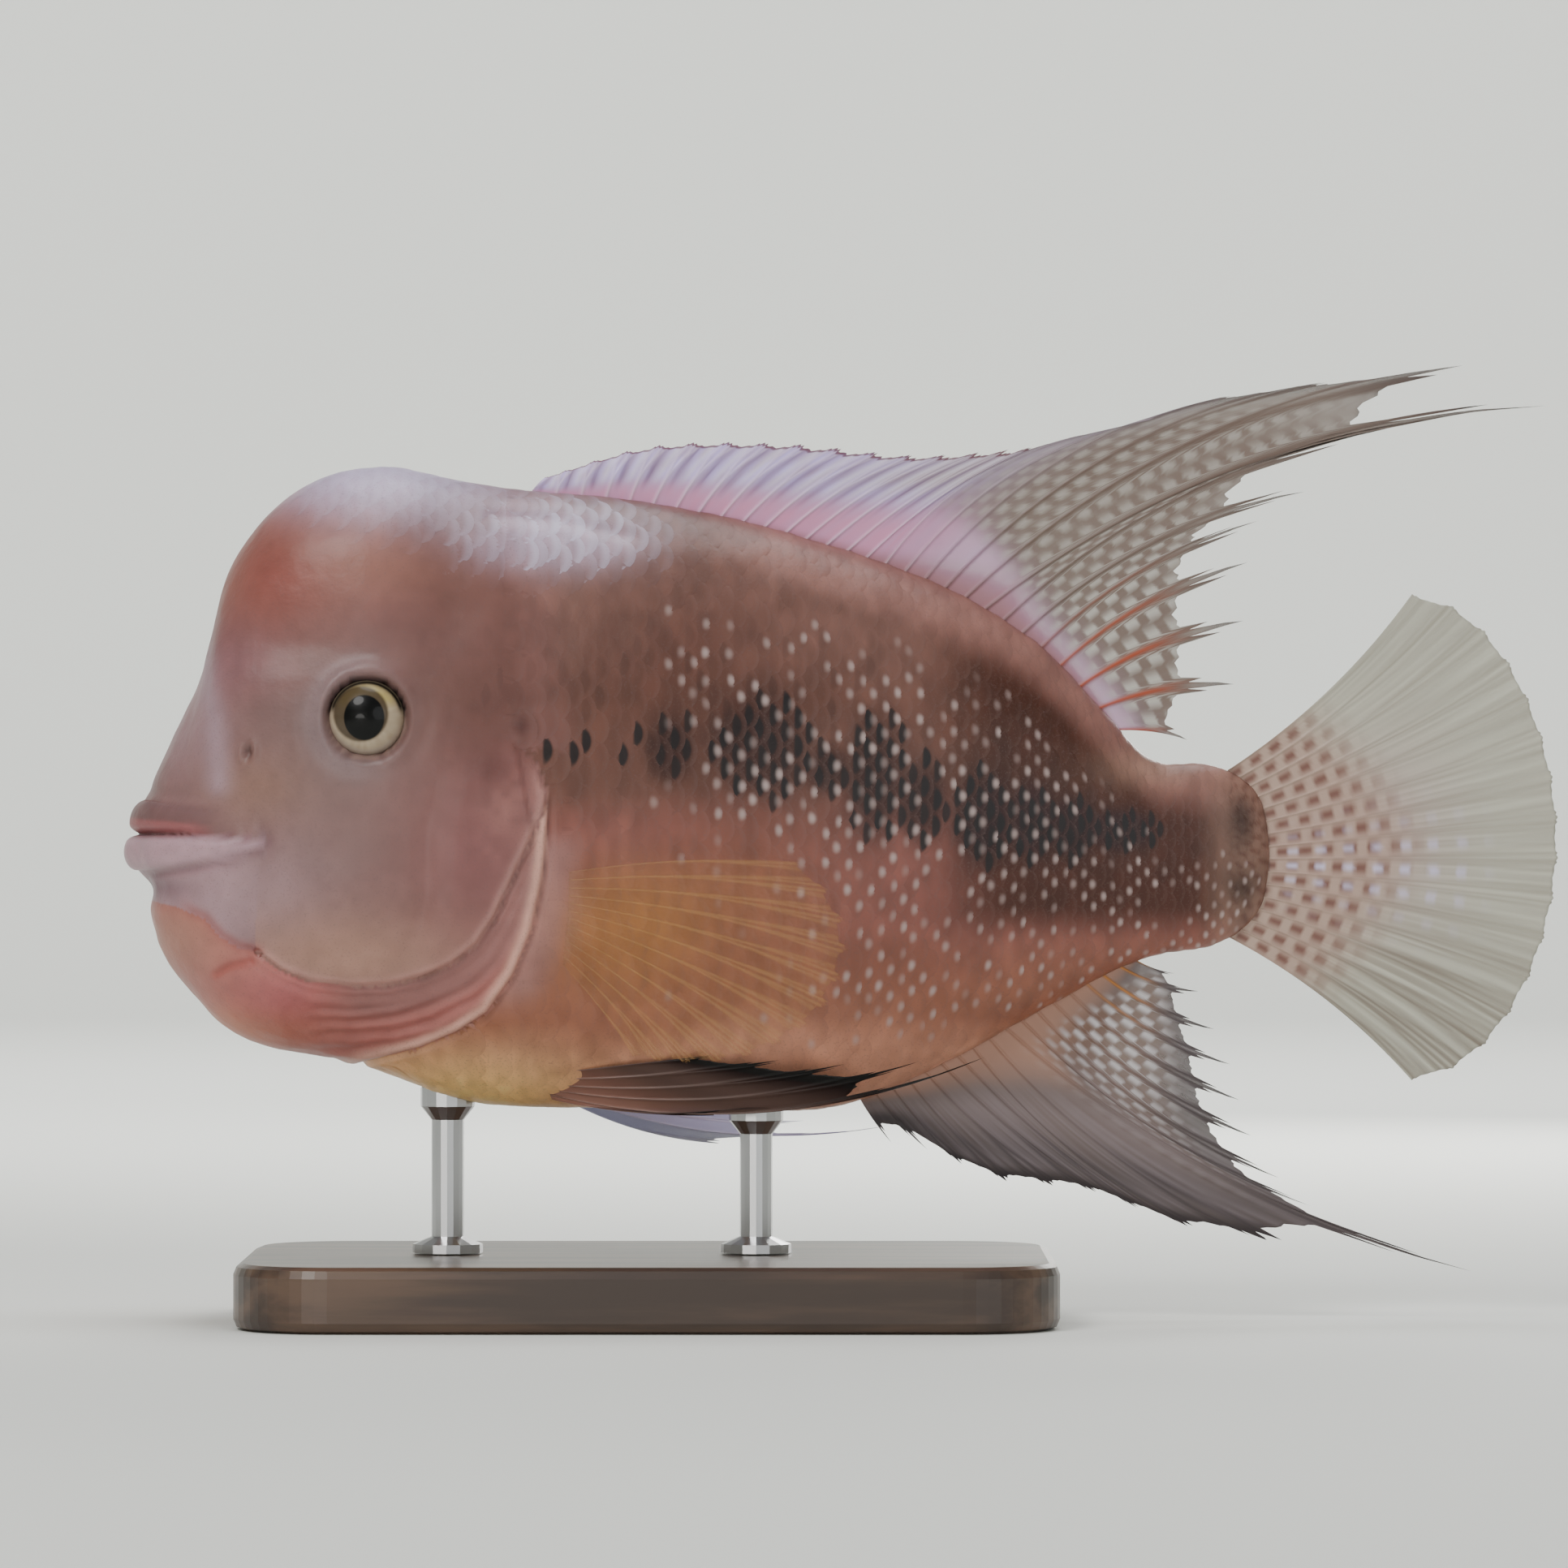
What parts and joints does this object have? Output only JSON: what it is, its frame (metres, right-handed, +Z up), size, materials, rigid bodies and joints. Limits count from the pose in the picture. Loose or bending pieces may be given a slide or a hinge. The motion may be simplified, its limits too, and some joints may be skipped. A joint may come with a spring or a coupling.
{
  "type": "flowerhorn cichlid display model",
  "caption": "Life-size still model of a flowerhorn cichlid with nuchal hump and trailing fins, held level on a low stand.",
  "frame": {"origin": "centre of the underside of the stand's base plate, on the floor", "axes": "+Z up, -X along the body towards the fish's mouth, -Y towards the fish's left side"},
  "size_m": [0.2634, 0.096, 0.1763],
  "materials": {
    "fish_skin": "satin",
    "fin_membrane": "satin",
    "eye": "gloss",
    "stand_wood": "satin",
    "stand_steel": "satin"
  },
  "bodies": {
    "root": {"head": "fish_skin", "nuchal_hump": "fish_skin", "lower_jaw": "fish_skin", "throat": "fish_skin", "gill_cover_left": "fish_skin", "gill_cover_right": "fish_skin", "eye_left": "eye", "eye_right": "eye", "torso": "fish_skin", "caudal_peduncle": "fish_skin", "dorsal_fin_spiny": "fin_membrane", "dorsal_fin_soft": "fin_membrane", "caudal_fin": "fin_membrane", "anal_fin": "fin_membrane", "pectoral_fin_left": "fin_membrane", "pectoral_fin_right": "fin_membrane", "pelvic_fin_left": "fin_membrane", "pelvic_fin_right": "fin_membrane", "stand_base": "stand_wood", "stand_rod_front": "stand_steel", "stand_rod_rear": "stand_steel"}
  },
  "joints": []
}
